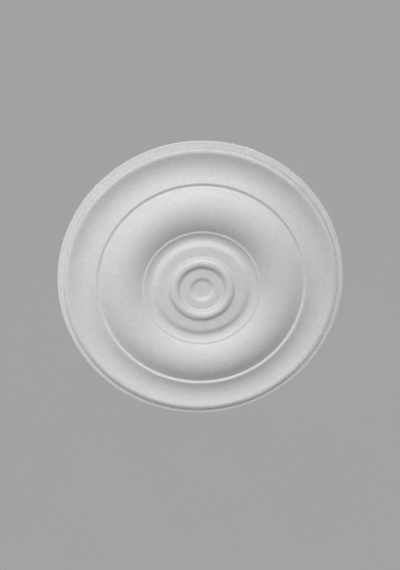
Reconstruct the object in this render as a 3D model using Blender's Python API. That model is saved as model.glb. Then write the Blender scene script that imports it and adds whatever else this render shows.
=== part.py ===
"""A plain round ceiling rose, moulded in one piece of light foam. Metres, +Z up.

The flat back lies on the ceiling at z = 0, with its centre at the origin. The ornament faces down,
so every height below is a distance down from the ceiling. The whole form is one outline, turned
about the Z axis: a dish in the middle, then a round bead on two sloping feet, a hollow, a broad
swell, a cove, a raised rim in two steps and a flat edge band.
"""

import math

import bpy

# Widths of the rings, from the centre out
DISH_FLOOR_RADIUS = 0.0141
DISH_WALL_WIDTH = 0.0088
DISH_MARGIN_WIDTH = 0.0144
BEAD_INNER_FOOT_WIDTH = 0.0033
BEAD_CREASE_WIDTH = 0.0005
BEAD_WIDTH = 0.0147
BEAD_OUTER_FOOT_WIDTH = 0.0035
FLAT_RING_WIDTH = 0.0156
HOLLOW_FALL_WIDTH = 0.0130
HOLLOW_RISE_WIDTH = 0.0128
FILLET_WIDTH = 0.0031
SWELL_WIDTH = 0.0746
STEP_WIDTH = 0.0050
COVE_WIDTH = 0.0476
RIM_WIDTH = 0.0032
UPPER_STEP_WIDTH = 0.0006
LEDGE_WIDTH = 0.0023
LOWER_STEP_WIDTH = 0.0012
GROOVE_WIDTH = 0.0009
EDGE_BAND_WIDTH = 0.0103

# Straight flanks at the sides of the two broad curves, as parts of their widths
COVE_OUTER_FLANK_WIDTH = 0.0058
COVE_INNER_FLANK_WIDTH = 0.0072
SWELL_OUTER_FLANK_WIDTH = 0.0130
SWELL_INNER_FLANK_WIDTH = 0.0041

# Heights, from the thin edge in to the centre
EDGE_THICKNESS = 0.0045
EDGE_ROUNDING = 0.0008
EDGE_BAND_RISE = 0.0001
GROOVE_DEPTH = 0.0007
LOWER_STEP_HEIGHT = 0.0040
LEDGE_FALL = 0.0003
UPPER_STEP_HEIGHT = 0.0014
COVE_OUTER_FLANK_FALL = 0.00208
COVE_INNER_FLANK_RISE = 0.00218
STEP_HEIGHT = 0.0016
SWELL_OUTER_FLANK_RISE = 0.00542
SWELL_INNER_FLANK_FALL = 0.00202
HOLLOW_DEPTH = 0.0041
FLAT_RING_HEIGHT = 0.0034
BEAD_OUTER_FOOT_HEIGHT = 0.0014
BEAD_INNER_FOOT_HEIGHT = 0.0017
BEAD_HEIGHT = 0.0027
DISH_DEPTH = 0.0029

# How finely the turned form is cut into flat faces
TURN_STEPS = 80
EDGE_ROUNDING_STEPS = 2
COVE_STEPS = 7
STEP_STEPS = 4
SWELL_STEPS = 9
HOLLOW_STEPS = 4
BEAD_STEPS = 7
DISH_WALL_STEPS = 4

FOAM_COLOUR = (0.80, 0.81, 0.80, 1.0)
FOAM_ROUGHNESS = 0.75


def arc(start, end, rise, steps):
    """Points after start on a circular arc to end, which stands by rise off its chord."""
    (r0, h0), (r1, h1) = start, end
    half_chord = math.hypot(r1 - r0, h1 - h0) / 2
    along = ((r1 - r0) / (2 * half_chord), (h1 - h0) / (2 * half_chord))
    side = 1 if r1 < r0 else -1
    half_angle = 2 * math.atan2(rise, half_chord)
    radius = half_chord / math.sin(half_angle)
    points = []
    for i in range(1, steps + 1):
        turn = half_angle * (2 * i / steps - 1)
        s = half_chord + radius * math.sin(turn)
        off = side * radius * (math.cos(turn) - math.cos(half_angle))
        points.append((r0 + along[0] * s + along[1] * off, h0 + along[1] * s - along[0] * off))
    return points


def rise_from_level(start, end):
    """The rise of the arc from start to end that is level at end."""
    (r0, h0), (r1, h1) = start, end
    half_chord = math.hypot(r1 - r0, h1 - h0) / 2
    slope = math.atan2(h0 - h1, abs(r1 - r0))
    return -half_chord * math.tan(slope / 2)


def wave(start, end, steps):
    """Points after start on a smooth S-curve that is level at both ends."""
    (r0, h0), (r1, h1) = start, end
    points = []
    for i in range(1, steps + 1):
        part = i / steps
        lift = (1 - math.cos(math.pi * part)) / 2
        points.append((r0 + (r1 - r0) * part, h0 + (h1 - h0) * lift))
    return points


def soft_step(start, end, steps):
    """Points after start on a straight slope to end, rounded off to level over a quarter at each end."""
    (r0, h0), (r1, h1) = start, end
    soft = 0.25
    steepness = 1 / (1 - soft)
    points = []
    for i in range(1, steps + 1):
        part = i / steps
        if part <= soft:
            lift = steepness * part ** 2 / (2 * soft)
        elif part < 1 - soft:
            lift = steepness * (part - soft / 2)
        else:
            lift = 1 - steepness * (1 - part) ** 2 / (2 * soft)
        points.append((r0 + (r1 - r0) * part, h0 + (h1 - h0) * lift))
    return points


def crown(start, width, outer_flank, inner_flank, steps):
    """Points after start, going in: a straight flank up, a bend that turns evenly, a straight flank down.

    Each flank is its width and its rise, counted up from its foot, and the bend runs on in its slope.
    """
    (outer_width, outer_rise), (inner_width, inner_rise) = outer_flank, inner_flank
    outer_slope = outer_rise / outer_width
    inner_slope = inner_rise / inner_width
    radius, height = start
    radius -= outer_width
    height += outer_rise
    points = [(radius, height)]
    stride = (width - outer_width - inner_width) / steps
    for i in range(steps):
        slope = outer_slope - (outer_slope + inner_slope) * (i + 0.5) / steps
        radius -= stride
        height += stride * slope
        points.append((radius, height))
    points.append((radius - inner_width, height - inner_rise))
    return points


def outer_radii():
    """The outer radius of each ring, added up from the centre."""
    widths = {
        "dish_floor": DISH_FLOOR_RADIUS,
        "dish_wall": DISH_WALL_WIDTH,
        "dish_margin": DISH_MARGIN_WIDTH,
        "inner_foot": BEAD_INNER_FOOT_WIDTH,
        "inner_crease": BEAD_CREASE_WIDTH,
        "bead": BEAD_WIDTH,
        "outer_crease": BEAD_CREASE_WIDTH,
        "outer_foot": BEAD_OUTER_FOOT_WIDTH,
        "flat_ring": FLAT_RING_WIDTH,
        "hollow_fall": HOLLOW_FALL_WIDTH,
        "hollow_rise": HOLLOW_RISE_WIDTH,
        "fillet": FILLET_WIDTH,
        "swell": SWELL_WIDTH,
        "step": STEP_WIDTH,
        "cove": COVE_WIDTH,
        "rim": RIM_WIDTH,
        "upper_step": UPPER_STEP_WIDTH,
        "ledge": LEDGE_WIDTH,
        "lower_step": LOWER_STEP_WIDTH,
        "groove": GROOVE_WIDTH,
        "edge_band": EDGE_BAND_WIDTH,
    }
    radii = {}
    total = 0.0
    for ring, width in widths.items():
        total += width
        radii[ring] = total
    return radii


def face_outline():
    """The outline as radius and height, along the back, round the edge and in over the ornament."""
    out = outer_radii()
    edge = out["edge_band"]
    rounding = min(EDGE_ROUNDING, EDGE_THICKNESS / 2, EDGE_BAND_WIDTH / 2)
    outline = [(0.0, 0.0), (edge, 0.0), (edge, EDGE_THICKNESS - rounding)]
    for i in range(1, EDGE_ROUNDING_STEPS + 1):
        turn = math.pi / 2 * i / EDGE_ROUNDING_STEPS
        across = edge - rounding * (1 - math.cos(turn))
        outline.append((across, EDGE_THICKNESS - rounding * (1 - math.sin(turn))))

    height = EDGE_THICKNESS + EDGE_BAND_RISE
    outline.append((out["groove"], height))
    outline.append((out["lower_step"], height - GROOVE_DEPTH))
    height += LOWER_STEP_HEIGHT
    outline.append((out["ledge"], height))
    height -= LEDGE_FALL
    outline.append((out["upper_step"], height))
    height += UPPER_STEP_HEIGHT
    outline.append((out["rim"], height))
    outline.append((out["cove"], height))

    outline += crown(
        outline[-1], COVE_WIDTH, (COVE_OUTER_FLANK_WIDTH, -COVE_OUTER_FLANK_FALL),
        (COVE_INNER_FLANK_WIDTH, -COVE_INNER_FLANK_RISE), COVE_STEPS,
    )
    height = outline[-1][1] - STEP_HEIGHT
    outline += soft_step(outline[-1], (out["swell"], height), STEP_STEPS)
    outline += crown(
        outline[-1], SWELL_WIDTH, (SWELL_OUTER_FLANK_WIDTH, SWELL_OUTER_FLANK_RISE),
        (SWELL_INNER_FLANK_WIDTH, SWELL_INNER_FLANK_FALL), SWELL_STEPS,
    )
    height = outline[-1][1]
    outline.append((out["hollow_rise"], height))

    bottom = (out["hollow_fall"], height - HOLLOW_DEPTH)
    outline += arc(outline[-1], bottom, rise_from_level(outline[-1], bottom), HOLLOW_STEPS)
    height = bottom[1] + FLAT_RING_HEIGHT
    outline += wave(bottom, (out["flat_ring"], height), HOLLOW_STEPS)
    outline.append((out["outer_foot"], height))

    outline.append((out["outer_crease"], height + BEAD_OUTER_FOOT_HEIGHT))
    outline.append((out["bead"], height + BEAD_OUTER_FOOT_HEIGHT))
    bead_end = (out["inner_crease"], height + BEAD_INNER_FOOT_HEIGHT)
    outline += arc(outline[-1], bead_end, BEAD_HEIGHT, BEAD_STEPS)
    outline.append((out["inner_foot"], height + BEAD_INNER_FOOT_HEIGHT))
    outline.append((out["dish_margin"], height))
    outline.append((out["dish_wall"], height))
    outline += soft_step(outline[-1], (out["dish_floor"], height - DISH_DEPTH), DISH_WALL_STEPS)
    outline.append((0.0, height - DISH_DEPTH))
    return outline


def foam_material():
    material = bpy.data.materials.new("white_foam")
    material.use_nodes = True
    shader = material.node_tree.nodes["Principled BSDF"]
    shader.inputs["Base Color"].default_value = FOAM_COLOUR
    shader.inputs["Roughness"].default_value = FOAM_ROUGHNESS
    shader.inputs["Metallic"].default_value = 0.0
    return material


def ceiling_rose():
    """The outline as a line of edges in the XZ plane, turned once round by a Screw modifier."""
    points = [(radius, 0.0, -height) for radius, height in face_outline()]
    edges = [(i, i + 1) for i in range(len(points) - 1)]
    mesh = bpy.data.meshes.new("ceiling_rose")
    mesh.from_pydata(points, edges, [])
    mesh.materials.append(foam_material())
    rose = bpy.data.objects.new("ceiling_rose", mesh)
    bpy.context.scene.collection.objects.link(rose)

    turn = rose.modifiers.new("turn", "SCREW")
    turn.axis = "Z"
    turn.angle = 2 * math.pi
    turn.steps = TURN_STEPS
    turn.render_steps = TURN_STEPS
    turn.use_merge_vertices = True
    turn.merge_threshold = 0.00001
    turn.use_smooth_shade = True
    return rose


def clear_scene():
    for found in list(bpy.data.objects):
        bpy.data.objects.remove(found, do_unlink=True)


clear_scene()
ceiling_rose()
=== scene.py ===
"""A round ceiling rose in white moulded foam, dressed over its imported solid. Metres, +Z up.

The rose hangs flat against a ceiling at z = 0 with its ornament down, and the camera looks up at it.
One finely turned moulding stands for the solid. It has the same rings and curves, with the soft corners
and the slight unevenness of the mould, and the nibs and pimples that the mould left.
"""

import math

import bpy
import numpy as np
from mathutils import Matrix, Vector


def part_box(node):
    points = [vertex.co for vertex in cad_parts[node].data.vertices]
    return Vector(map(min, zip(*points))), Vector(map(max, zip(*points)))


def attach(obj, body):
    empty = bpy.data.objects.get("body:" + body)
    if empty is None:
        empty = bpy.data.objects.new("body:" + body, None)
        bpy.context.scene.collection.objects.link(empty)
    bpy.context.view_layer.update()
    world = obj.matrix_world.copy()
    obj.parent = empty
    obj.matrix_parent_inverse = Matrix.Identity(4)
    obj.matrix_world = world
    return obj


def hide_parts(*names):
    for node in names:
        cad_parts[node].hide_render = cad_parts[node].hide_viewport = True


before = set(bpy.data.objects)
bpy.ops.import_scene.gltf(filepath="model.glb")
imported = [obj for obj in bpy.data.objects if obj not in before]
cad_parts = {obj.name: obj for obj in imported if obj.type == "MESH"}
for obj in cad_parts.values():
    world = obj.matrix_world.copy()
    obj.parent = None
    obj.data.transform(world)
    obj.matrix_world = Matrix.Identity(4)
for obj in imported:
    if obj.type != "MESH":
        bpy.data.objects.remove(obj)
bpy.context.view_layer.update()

ROSE_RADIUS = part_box("ceiling_rose")[1].x

# Widths of the rings, from the centre out; the edge band takes what is left
DISH_FLOOR_RADIUS = 0.0141
DISH_WALL_WIDTH = 0.0088
DISH_MARGIN_WIDTH = 0.0144
BEAD_INNER_FOOT_WIDTH = 0.0033
BEAD_CREASE_WIDTH = 0.0005
BEAD_WIDTH = 0.0147
BEAD_OUTER_FOOT_WIDTH = 0.0035
FLAT_RING_WIDTH = 0.0156
HOLLOW_FALL_WIDTH = 0.0130
HOLLOW_RISE_WIDTH = 0.0128
FILLET_WIDTH = 0.0031
SWELL_WIDTH = 0.0746
STEP_WIDTH = 0.0050
COVE_WIDTH = 0.0476
RIM_WIDTH = 0.0032
UPPER_STEP_WIDTH = 0.0006
LEDGE_WIDTH = 0.0023
LOWER_STEP_WIDTH = 0.0012
GROOVE_WIDTH = 0.0009
EDGE_BAND_WIDTH = ROSE_RADIUS - sum((
    DISH_FLOOR_RADIUS, DISH_WALL_WIDTH, DISH_MARGIN_WIDTH, BEAD_INNER_FOOT_WIDTH, BEAD_CREASE_WIDTH,
    BEAD_WIDTH, BEAD_CREASE_WIDTH, BEAD_OUTER_FOOT_WIDTH, FLAT_RING_WIDTH, HOLLOW_FALL_WIDTH,
    HOLLOW_RISE_WIDTH, FILLET_WIDTH, SWELL_WIDTH, STEP_WIDTH, COVE_WIDTH, RIM_WIDTH, UPPER_STEP_WIDTH,
    LEDGE_WIDTH, LOWER_STEP_WIDTH, GROOVE_WIDTH,
))

# Straight flanks at the sides of the two broad curves, as width and rise from their feet
COVE_OUTER_FLANK = (0.0058, -0.00208)
COVE_INNER_FLANK = (0.0072, -0.00218)
SWELL_OUTER_FLANK = (0.0130, 0.00542)
SWELL_INNER_FLANK = (0.0041, 0.00202)

# Heights, from the thin edge in to the centre
EDGE_THICKNESS = 0.0045
EDGE_ROUNDING = 0.0008
EDGE_BAND_RISE = 0.0001
GROOVE_DEPTH = 0.0007
LOWER_STEP_HEIGHT = 0.0040
LEDGE_FALL = 0.0003
UPPER_STEP_HEIGHT = 0.0014
STEP_HEIGHT = 0.0016
HOLLOW_DEPTH = 0.0041
FLAT_RING_HEIGHT = 0.0034
BEAD_OUTER_FOOT_HEIGHT = 0.0014
BEAD_INNER_FOOT_HEIGHT = 0.0017
BEAD_HEIGHT = 0.0027
DISH_DEPTH = 0.0029
SOFT_END = 0.25

# How finely the moulding is cut
CURVE_STEPS = 48
FINE_GAP = 0.0001
MOULD_SOFTNESS = 0.0005
FLAT_GAP = 0.0028
RINGS_PER_RADIAN = 7.0
FACE_RINGS = 172
BACK_RINGS = 7
BACK_EDGE_WIDTH = 0.0030
TURN_STEPS = 400

# Slight unevenness of the cooled foam: the waves' lengths and heights, and how many there are of each
UNEVEN_WAVES = ((0.110, 0.00012), (0.047, 0.00005))
WAVES_OF_EACH = 4
WAVE_SPREAD = (0.8, 1.25)
UNEVEN_SEED = 7

# What the mould left, each as its turn in degrees from the picture's right up over its top, and its
# radius, half width and height
RIM_NIBS = (
    (50.1, 0.2505, 0.0013, 0.0016),
    (78.3, 0.2505, 0.0014, 0.0013),
    (73.2, 0.2505, 0.0022, 0.0007),
)
PIMPLES = (
    (179.3, 0.1822, 0.0012, 0.0003),
    (186.3, 0.1829, 0.0013, 0.0006),
    (189.1, 0.1836, 0.0011, 0.0005),
    (200.2, 0.1835, 0.0011, 0.0004),
    (209.4, 0.2113, 0.0012, 0.0005),
    (54.3, 0.1393, 0.0012, -0.0003),
    (260.5, 0.1059, 0.0010, 0.0004),
    (245.8, 0.0953, 0.0012, -0.0003),
)
MARK_REACH = 1.5
MARK_SPOKES = 11
RINGS_IN_HALF_A_PIMPLE = 2

# The foam's grain
FOAM_WHITE = (0.838, 0.844, 0.832, 1.0)
FOAM_SEAM = (0.738, 0.744, 0.732, 1.0)
FOAM_BEAD_SIZE = 0.0030
BEAD_DISORDER = 0.95
SEAM_REACH = 0.13
BEAD_CLUSTER_SIZE = 0.009
CLOUD_SIZE = 0.060
SKIN_GRAIN_SIZE = 0.0007
SKIN_GRAIN_DETAIL = 3.0

# How far each marking takes the colour from the foam's white to its seams
BASE_SHADE = 0.30
SEAM_SHADE = 0.45
BEAD_SHADE = 0.55
CLUSTER_SHADE = 0.65
CLOUD_SHADE = 0.25
VENT_SHADE = 0.25

# How far each marking stands up or goes in, as shares of the beads' relief
BEAD_RELIEF = 0.0002
RELIEF_STRENGTH = 0.6
DOME_RISE = 0.35
BEAD_RISE = 0.25
SEAM_DEPTH = 0.5
SKIN_RISE = 0.2
VENT_DEPTH = 0.9

# The foam's dry sheen
FOAM_SPECULAR = 0.45
FOAM_ROUGHNESS = 0.55
BEAD_ROUGHNESS = 0.08
SEAM_ROUGHNESS = 0.06

# Painted shade in the narrow places: the colour darkened toward a grey along the creases beside the bead and
# in the groove at the rim's foot
PAINTED_SHADE_GREY = (0.42, 0.42, 0.41, 1.0)
PAINTED_SHADE_REACH = 0.0016
CREASE_PAINTED_SHADE = 0.42
GROOVE_PAINTED_SHADE = 0.28

# Prints of the mould's vents on the back
VENT_PITCH = 0.042
VENT_RADIUS = 0.0042
VENT_LINE = 0.0005
VENT_SLOT_PITCH = 0.0016
VENT_SLOT_EDGE = (0.2, 0.9)
VENT_SLOT_SHARE = 0.7
VENT_FIELD_RADIUS = 0.235
VENT_FIELD_FADE = 0.002
BACK_SKIN = (-0.0006, -0.0002)

# The studio
BACKDROP_WHITE = (0.40, 0.40, 0.40, 1.0)
BACKDROP_SHADE = (0.388, 0.388, 0.388, 1.0)
BACKDROP_CLOUD_SIZE = 9.0
BACKDROP_ROUGHNESS = 0.9
BACKDROP_GLOW = 0.84
BACKDROP_RADIUS = 30.0
BACKDROP_SEGMENTS = 96
FLOOR_DROP = 12.0
AIR_WHITE = (0.064, 0.064, 0.064, 1.0)

# The lights on the face, each as its degrees off the downward axis, its degrees of turn from the picture's
# top to its left, and its distance, size and power; then the light on the back
FACE_LIGHTS = {
    "right_window": (59.4, -14.0, 6.0, 2.0, 171.0),
    "left_window": (59.4, 9.0, 6.0, 2.0, 103.5),
    "left_wall": (35.0, 90.0, 1.5, 0.8, 6.6),
}
BACK_WASH_PLACE = (0.3, -0.5, 2.4)
BACK_WASH_SIZE = 1.2
BACK_WASH_POWER = 60.0

# The picture's frame, and the camera as it stood
PICTURE_HEIGHT = 570
FOCAL_PIXELS = 485
SENSOR = 36.0
CAMERA_PLACE = (-0.0391, -0.2735, -0.8097)
CAMERA_TURN = (161.770, 2.539, 0.000)


class Wire:
    """One output of a node tree. Arithmetic on it adds Math nodes."""

    def __init__(self, paint, socket):
        self.paint = paint
        self.socket = socket

    def maths(self, operation, *others):
        inputs = dict(enumerate((self, *others)))
        return self.paint.node("ShaderNodeMath", {"operation": operation}, inputs, 0)

    def turned(self, operation, first):
        """The operation with this wire as its second value."""
        return self.paint.node("ShaderNodeMath", {"operation": operation}, {0: first, 1: self}, 0)

    def __add__(self, other):
        return self.maths("ADD", other)

    def __radd__(self, other):
        return self.turned("ADD", other)

    def __sub__(self, other):
        return self.maths("SUBTRACT", other)

    def __rsub__(self, other):
        return self.turned("SUBTRACT", other)

    def __mul__(self, other):
        return self.maths("MULTIPLY", other)

    def __rmul__(self, other):
        return self.turned("MULTIPLY", other)

    def __truediv__(self, other):
        return self.maths("DIVIDE", other)

    def __pow__(self, other):
        return self.maths("POWER", other)


class Paint:
    """A material's node tree, added to one node at a time."""

    def __init__(self, name):
        self.material = bpy.data.materials.new(name)
        self.material.use_nodes = True
        self.nodes = self.material.node_tree.nodes
        self.links = self.material.node_tree.links
        self.shader = self.nodes["Principled BSDF"]

    def node(self, kind, settings, inputs, output=None):
        """Adds a node: its settings first, then the values or links of its sockets."""
        made = self.nodes.new(kind)
        for name, value in settings.items():
            setattr(made, name, value)
        self.feed(made, inputs)
        return made if output is None else Wire(self, made.outputs[output])

    def feed(self, node, inputs):
        for name, value in inputs.items():
            if isinstance(value, Wire):
                self.links.new(value.socket, node.inputs[name])
            else:
                node.inputs[name].default_value = value

    def place(self):
        """Where a point is on the piece, in metres."""
        return self.node("ShaderNodeTexCoord", {}, {}, "Object")

    def parts_of(self, vector):
        made = self.node("ShaderNodeSeparateXYZ", {}, {"Vector": vector})
        return [Wire(self, output) for output in made.outputs]

    def noise(self, vector, size, detail=2.0):
        inputs = {"Vector": vector, "Scale": 1 / size, "Detail": detail}
        return self.node("ShaderNodeTexNoise", {}, inputs, "Fac")

    def rise(self, value, start, end):
        """A smooth change from 0 to 1 as value goes from start to end."""
        inputs = {"Value": value, "From Min": start, "From Max": end}
        return self.node("ShaderNodeMapRange", {"interpolation_type": "SMOOTHSTEP"}, inputs, "Result")

    def fade(self, value, start, end):
        """A smooth change from 1 to 0 as value goes from start to end."""
        return 1 - self.rise(value, start, end)

    def blend(self, share, first, second):
        """The colour first where share is 0, and second where it is 1."""
        return self.node("ShaderNodeMix", {"data_type": "RGBA"}, {"Factor": share, 6: first, 7: second}, 2)

    def bump(self, height, distance, strength):
        inputs = {"Height": height, "Distance": distance, "Strength": strength}
        return self.node("ShaderNodeBump", {}, inputs, "Normal")


def painted_crease_shade(paint, place):
    """How much painted shade darkens the colour in the creases beside the bead and, more thinly, in the
    groove at the rim's foot.
    """
    inner_crease = DISH_FLOOR_RADIUS + DISH_WALL_WIDTH + DISH_MARGIN_WIDTH + BEAD_INNER_FOOT_WIDTH
    outer_crease = inner_crease + BEAD_CREASE_WIDTH + BEAD_WIDTH
    groove = ROSE_RADIUS - EDGE_BAND_WIDTH - GROOVE_WIDTH
    x, y, z = paint.parts_of(place)
    from_centre = (x ** 2 + y ** 2) ** 0.5

    def line_at(radius):
        return paint.fade((from_centre - radius).maths("ABSOLUTE"), 0.0, PAINTED_SHADE_REACH)

    creases = line_at(inner_crease + BEAD_CREASE_WIDTH / 2) + line_at(outer_crease + BEAD_CREASE_WIDTH / 2)
    on_face = paint.fade(z, -EDGE_THICKNESS / 2, -EDGE_THICKNESS / 4)
    return (CREASE_PAINTED_SHADE * creases + GROOVE_PAINTED_SHADE * line_at(groove)) * on_face


def vent_prints(paint, place):
    """Faint round prints of the mould's vents, over the flat back only: 1 on a print's lines."""
    x, y, z = paint.parts_of(place)
    across = ((x / VENT_PITCH).maths("FRACT") - 0.5) * VENT_PITCH
    along = ((y / VENT_PITCH).maths("FRACT") - 0.5) * VENT_PITCH
    from_vent = (across ** 2 + along ** 2) ** 0.5
    ring = paint.fade((from_vent - VENT_RADIUS).maths("ABSOLUTE"), 0.0, VENT_LINE)
    slots = paint.rise((along * (2 * math.pi / VENT_SLOT_PITCH)).maths("SINE"), *VENT_SLOT_EDGE)
    in_ring = paint.fade(from_vent, VENT_RADIUS - 2 * VENT_LINE, VENT_RADIUS)
    on_back = paint.rise(z, *BACK_SKIN)
    from_centre = (x ** 2 + y ** 2) ** 0.5
    in_field = paint.fade(from_centre, VENT_FIELD_RADIUS - VENT_FIELD_FADE, VENT_FIELD_RADIUS)
    return ring.maths("MAXIMUM", VENT_SLOT_SHARE * slots * in_ring) * on_back * in_field


def foam_finish():
    """White foam: round beads pressed flat by the mould, with fine seams between them."""
    paint = Paint("white_foam")
    place = paint.place()
    cells = {"Vector": place, "Scale": 1 / FOAM_BEAD_SIZE, "Randomness": BEAD_DISORDER}
    beads = paint.node("ShaderNodeTexVoronoi", {"feature": "F1"}, cells)
    gap = paint.node("ShaderNodeTexVoronoi", {"feature": "DISTANCE_TO_EDGE"}, cells, "Distance")
    bead = paint.parts_of(Wire(paint, beads.outputs["Color"]))[0] - 0.5
    dome = 1 - Wire(paint, beads.outputs["Distance"]) ** 2
    seam = paint.fade(gap, 0.0, SEAM_REACH)
    cluster = paint.noise(place, BEAD_CLUSTER_SIZE) - 0.5
    cloud = paint.noise(place, CLOUD_SIZE) - 0.5
    skin = paint.noise(place, SKIN_GRAIN_SIZE, SKIN_GRAIN_DETAIL)
    vents = vent_prints(paint, place)

    grain = SEAM_SHADE * seam + BEAD_SHADE * bead + CLUSTER_SHADE * cluster + CLOUD_SHADE * cloud
    unshaded_foam = paint.blend(BASE_SHADE + grain + VENT_SHADE * vents, FOAM_WHITE, FOAM_SEAM)
    height = DOME_RISE * dome + BEAD_RISE * bead - SEAM_DEPTH * seam + SKIN_RISE * skin - VENT_DEPTH * vents
    paint.feed(paint.shader, {
        # Base colour: the foam's grain, darkened toward grey in the creases and the groove as painted shade
        "Base Color": paint.blend(painted_crease_shade(paint, place), unshaded_foam, PAINTED_SHADE_GREY),
        "Roughness": FOAM_ROUGHNESS + BEAD_ROUGHNESS * bead + SEAM_ROUGHNESS * seam,
        "Specular IOR Level": FOAM_SPECULAR,
        "Normal": paint.bump(height, BEAD_RELIEF, RELIEF_STRENGTH),
    })
    return paint.material


def backdrop_finish():
    paint = Paint("pale_backdrop")
    cloud = paint.noise(paint.place(), BACKDROP_CLOUD_SIZE)
    tone = paint.blend(cloud, BACKDROP_WHITE, BACKDROP_SHADE)
    paint.feed(paint.shader, {
        "Base Color": tone,
        "Roughness": BACKDROP_ROUGHNESS,
        "Emission Color": tone,
        "Emission Strength": BACKDROP_GLOW,
    })
    return paint.material


class Outline:
    """The face's outline, drawn ring by ring from the edge in. Heights are counted down from the ceiling."""

    def __init__(self, radius, height):
        self.points = [(radius, height)]

    def to(self, radius, height):
        self.points.append((radius, height))

    def line(self, width, rise=0.0):
        radius, height = self.points[-1]
        self.to(radius - width, height + rise)

    def follow(self, width, rise_at):
        """Goes in by width, standing rise_at(share) higher at each share of the way."""
        radius, height = self.points[-1]
        for i in range(1, CURVE_STEPS + 1):
            share = i / CURVE_STEPS
            self.to(radius - width * share, height + rise_at(share))

    def soft_step(self, width, rise):
        """A straight slope with both its ends rounded off to level."""
        steepness = 1 / (1 - SOFT_END)

        def lift(share):
            if share <= SOFT_END:
                return steepness * share ** 2 / (2 * SOFT_END)
            if share < 1 - SOFT_END:
                return steepness * (share - SOFT_END / 2)
            return 1 - steepness * (1 - share) ** 2 / (2 * SOFT_END)

        self.follow(width, lambda share: rise * lift(share))

    def wave(self, width, rise):
        """An S-curve that is level at both ends."""
        self.follow(width, lambda share: rise * (1 - math.cos(math.pi * share)) / 2)

    def crown(self, width, outer_flank, inner_flank):
        """A straight flank up, a bend that turns evenly, and a straight flank down."""
        (outer_width, outer_rise), (inner_width, inner_rise) = outer_flank, inner_flank
        bend = width - outer_width - inner_width
        slope = outer_rise / outer_width
        bow = (slope + inner_rise / inner_width) / 2
        self.line(outer_width, outer_rise)
        self.follow(bend, lambda share: bend * (slope * share - bow * share ** 2))
        self.line(inner_width, -inner_rise)

    def arc(self, width, drop, bow):
        """A circular arc to a point that is width in and drop lower, bowed out by bow from its chord."""
        (r0, h0) = self.points[-1]
        half_chord = math.hypot(width, drop) / 2
        half_angle = 2 * math.atan2(bow, half_chord)
        bend = half_chord / math.sin(half_angle)
        in_step, down_step = width / (2 * half_chord), drop / (2 * half_chord)
        for i in range(1, CURVE_STEPS + 1):
            turn = half_angle * (2 * i / CURVE_STEPS - 1)
            way = half_chord + bend * math.sin(turn)
            off = bend * (math.cos(turn) - math.cos(half_angle))
            self.to(r0 - in_step * way + down_step * off, h0 - down_step * way + in_step * off)


def face_outline():
    """From the back, a little inside the edge, round the edge and in over the ornament to the centre."""
    face = Outline(ROSE_RADIUS - BACK_EDGE_WIDTH, 0.0)
    face.to(ROSE_RADIUS, 0.0)
    face.to(ROSE_RADIUS, EDGE_THICKNESS - EDGE_ROUNDING)
    for i in range(1, CURVE_STEPS + 1):
        turn = math.pi / 2 * i / CURVE_STEPS
        across = ROSE_RADIUS - EDGE_ROUNDING * (1 - math.cos(turn))
        face.to(across, EDGE_THICKNESS - EDGE_ROUNDING * (1 - math.sin(turn)))
    face.line(EDGE_BAND_WIDTH - EDGE_ROUNDING, EDGE_BAND_RISE)
    face.line(GROOVE_WIDTH, -GROOVE_DEPTH)
    face.line(LOWER_STEP_WIDTH, GROOVE_DEPTH + LOWER_STEP_HEIGHT)
    face.line(LEDGE_WIDTH, -LEDGE_FALL)
    face.line(UPPER_STEP_WIDTH, UPPER_STEP_HEIGHT)
    face.line(RIM_WIDTH)
    face.crown(COVE_WIDTH, COVE_OUTER_FLANK, COVE_INNER_FLANK)
    face.soft_step(STEP_WIDTH, -STEP_HEIGHT)
    face.crown(SWELL_WIDTH, SWELL_OUTER_FLANK, SWELL_INNER_FLANK)
    face.line(FILLET_WIDTH)
    hollow_slope = math.atan2(HOLLOW_DEPTH, HOLLOW_RISE_WIDTH)
    half_chord = math.hypot(HOLLOW_RISE_WIDTH, HOLLOW_DEPTH) / 2
    face.arc(HOLLOW_RISE_WIDTH, HOLLOW_DEPTH, -half_chord * math.tan(hollow_slope / 2))
    face.wave(HOLLOW_FALL_WIDTH, FLAT_RING_HEIGHT)
    face.line(FLAT_RING_WIDTH)
    face.line(BEAD_OUTER_FOOT_WIDTH, BEAD_OUTER_FOOT_HEIGHT)
    face.line(BEAD_CREASE_WIDTH)
    face.arc(BEAD_WIDTH, BEAD_OUTER_FOOT_HEIGHT - BEAD_INNER_FOOT_HEIGHT, BEAD_HEIGHT)
    face.line(BEAD_CREASE_WIDTH)
    face.line(BEAD_INNER_FOOT_WIDTH, -BEAD_INNER_FOOT_HEIGHT)
    face.line(DISH_MARGIN_WIDTH)
    face.soft_step(DISH_WALL_WIDTH, -DISH_DEPTH)
    face.line(DISH_FLOOR_RADIUS)
    return np.array(face.points)


def evenly(outline):
    """The outline again, with its points an even fine gap apart."""
    lengths = np.r_[0, np.cumsum(np.hypot(*np.diff(outline, axis=0).T))]
    stops = np.linspace(0, lengths[-1], round(lengths[-1] / FINE_GAP) + 1)
    return np.stack([np.interp(stops, lengths, outline[:, k]) for k in (0, 1)], axis=1)


def softened(outline):
    """The fine outline with every corner rounded over the mould's softness."""
    half = round(MOULD_SOFTNESS / FINE_GAP)
    window = np.hanning(2 * half + 3)[1:-1]
    window /= window.sum()
    before = 2 * outline[0] - outline[half:0:-1]
    after = 2 * outline[-1] - outline[-2:-half - 2:-1]
    longer = np.concatenate([before, outline, after])
    return np.stack([np.convolve(longer[:, k], window, "valid") for k in (0, 1)], axis=1)


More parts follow.
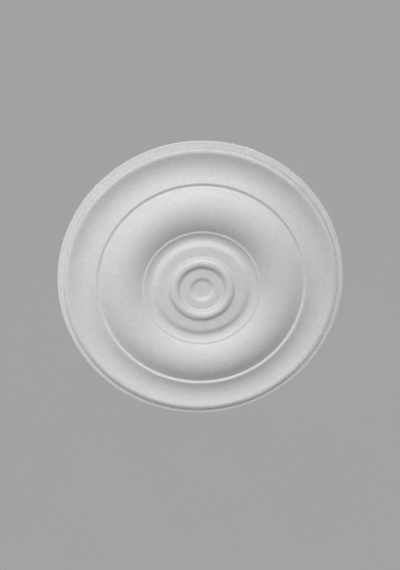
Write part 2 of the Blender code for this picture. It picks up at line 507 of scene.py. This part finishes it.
def chosen_rings(outline):
    """The outline at few points: close together where it bends or is marked, far apart where it is flat."""
    steps = np.diff(outline, axis=0)
    heading = np.unwrap(np.arctan2(steps[:, 1], steps[:, 0]))
    bend = np.abs(np.gradient(heading))
    weight = FINE_GAP / FLAT_GAP + bend * RINGS_PER_RADIAN
    for _, radius, half_width, _ in PIMPLES:
        near = np.abs(outline[:-1, 0] - radius) < MARK_REACH * half_width
        weight[near] = np.maximum(weight[near], FINE_GAP / half_width * RINGS_IN_HALF_A_PIMPLE)
    total = np.r_[0, np.cumsum(weight)]
    stops = np.linspace(0, total[-1], FACE_RINGS)
    places = np.interp(stops, total, np.arange(len(outline)))
    return np.stack([np.interp(places, np.arange(len(outline)), outline[:, k]) for k in (0, 1)], axis=1)


def turn_angles():
    """The turns of the mesh's spokes: even all round, with extra spokes through each nib and pimple."""
    spokes = [np.linspace(0, 2 * math.pi, TURN_STEPS, endpoint=False)]
    for degrees, radius, half_width, _ in RIM_NIBS + PIMPLES:
        reach = MARK_REACH * half_width / radius
        spokes.append(math.radians(degrees) + np.linspace(-reach, reach, MARK_SPOKES))
    return np.unique(np.concatenate(spokes) % (2 * math.pi))


def hump(x, y, degrees, radius, half_width):
    """A round hump of height 1 at a mark's place, which runs out smoothly at the mark's reach."""
    turn = math.radians(degrees)
    distance = np.hypot(x - radius * math.cos(turn), y + radius * math.sin(turn))
    share = np.clip(distance / (MARK_REACH * half_width), 0, 1)
    return (1 + np.cos(math.pi * share)) / 2


def unevenness(x, y):
    """The cooled foam's slight waves, as a height at each point. They only take away."""
    chance = np.random.default_rng(UNEVEN_SEED)
    height = np.zeros_like(x)
    for length, size in UNEVEN_WAVES:
        for _ in range(WAVES_OF_EACH):
            heading, phase = chance.uniform(0, 2 * math.pi, 2)
            way = x * math.cos(heading) + y * math.sin(heading)
            spread = chance.uniform(*WAVE_SPREAD)
            height += size / 2 * np.sin(2 * math.pi * way / length * spread + phase)
    return height - height.max()


def marked(outline, turns):
    """The outline turned once round, as x, y and height grids, with the waves, pimples and nibs on it."""
    radius, height = (np.repeat(outline[:, k:k + 1], len(turns), axis=1) for k in (0, 1))
    slope = np.gradient(outline, axis=0)
    slope /= np.hypot(*slope.T)[:, None]
    right, up = np.cos(turns)[None, :], -np.sin(turns)[None, :]
    x, y = radius * right, radius * up

    lift = unevenness(x, y) * np.clip((height - EDGE_THICKNESS) / EDGE_THICKNESS, 0, 1)
    on_face = height > EDGE_THICKNESS / 2
    for degrees, at, half_width, tall in PIMPLES:
        lift += tall * hump(x, y, degrees, at, half_width) * on_face
    out = np.zeros_like(lift)
    on_edge = np.clip(1 - height / EDGE_THICKNESS, 0, 1) * (radius > ROSE_RADIUS - EDGE_ROUNDING)
    for degrees, at, half_width, tall in RIM_NIBS:
        out += tall * hump(x, y, degrees, at, half_width) * on_edge
    radius = radius + out - lift * slope[:, 1:2]
    return radius * right, radius * up, height - lift * slope[:, 0:1]


def moulded_rose():
    """The turned moulding as one closed mesh, with its normals out."""
    rings = chosen_rings(softened(evenly(face_outline())))
    turns = turn_angles()
    back = np.linspace(0, rings[0, 0], BACK_RINGS + 1)[1:-1]
    outline = np.concatenate([np.stack([back, np.zeros_like(back)], axis=1), rings[:-1]])
    x, y, height = marked(outline, turns)
    points = np.stack([x, y, -height], axis=-1).reshape(-1, 3)
    points = np.concatenate([points, [(0, 0, 0), (0, 0, -rings[-1, 1])]])

    around, last = len(turns), len(outline) - 1
    back_centre, face_centre = len(points) - 2, len(points) - 1
    faces = []
    for j in range(around):
        after = (j + 1) % around
        faces.append((back_centre, after, j))
        faces.append((face_centre, last * around + j, last * around + after))
        for i in range(last):
            inner, outer = i * around, (i + 1) * around
            faces.append((inner + j, inner + after, outer + after, outer + j))
    mesh = bpy.data.meshes.new("moulded_rose")
    mesh.from_pydata(points.tolist(), [], faces)
    mesh.shade_smooth()
    mesh.materials.append(foam_finish())
    rose = bpy.data.objects.new("moulded_rose", mesh)
    bpy.context.scene.collection.objects.link(rose)
    return rose


def backdrop():
    """The pale floor, far below, rising all round and overhead into the backdrop. It casts no light."""
    bpy.ops.mesh.primitive_uv_sphere_add(
        segments=BACKDROP_SEGMENTS, ring_count=BACKDROP_SEGMENTS // 2, radius=BACKDROP_RADIUS,
    )
    cove = bpy.context.object
    cove.name = "studio_backdrop"
    for point in cove.data.vertices:
        point.co.z = max(point.co.z, -FLOOR_DROP)
    cove.data.shade_smooth()
    cove.data.materials.append(backdrop_finish())
    cove.visible_diffuse = False
    cove.visible_glossy = False
    cove.visible_shadow = False
    return cove


def soft_light(name, place, size, power):
    """A round soft light at place, turned to the rose."""
    light = bpy.data.lights.new(name, "AREA")
    light.shape = "DISK"
    light.size = size
    light.energy = power
    lamp = bpy.data.objects.new(name, light)
    lamp.location = place
    lamp.rotation_euler = (-Vector(place)).to_track_quat("-Z", "Y").to_euler()
    lamp.visible_camera = False
    bpy.context.scene.collection.objects.link(lamp)


def toward(off_axis, turn, distance):
    """The place at a distance and angle off the downward axis, turned from the picture's top to its left."""
    off, round_axis = math.radians(off_axis), math.radians(turn)
    return (
        -distance * math.sin(off) * math.sin(round_axis),
        -distance * math.sin(off) * math.cos(round_axis),
        -distance * math.cos(off),
    )


def studio():
    """Dim air, two soft windows off the picture's top, a weak light off its left, and one on the back."""
    air = bpy.data.worlds.new("pale_air")
    air.use_nodes = True
    air.node_tree.nodes["Background"].inputs["Color"].default_value = AIR_WHITE
    bpy.context.scene.world = air
    for name, (off_axis, turn, distance, size, power) in FACE_LIGHTS.items():
        soft_light(name, toward(off_axis, turn, distance), size, power)
    soft_light("back_wash", BACK_WASH_PLACE, BACK_WASH_SIZE, BACK_WASH_POWER)
    backdrop()


def camera():
    lens = bpy.data.cameras.new("camera")
    lens.sensor_width = SENSOR
    lens.lens = FOCAL_PIXELS / PICTURE_HEIGHT * SENSOR
    seer = bpy.data.objects.new("camera", lens)
    seer.location = CAMERA_PLACE
    seer.rotation_euler = [math.radians(turn) for turn in CAMERA_TURN]
    bpy.context.scene.collection.objects.link(seer)
    bpy.context.scene.camera = seer
    bpy.context.scene.view_settings.view_transform = "Standard"


camera()
studio()
rose = moulded_rose()
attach(rose, "root")
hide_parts("ceiling_rose")
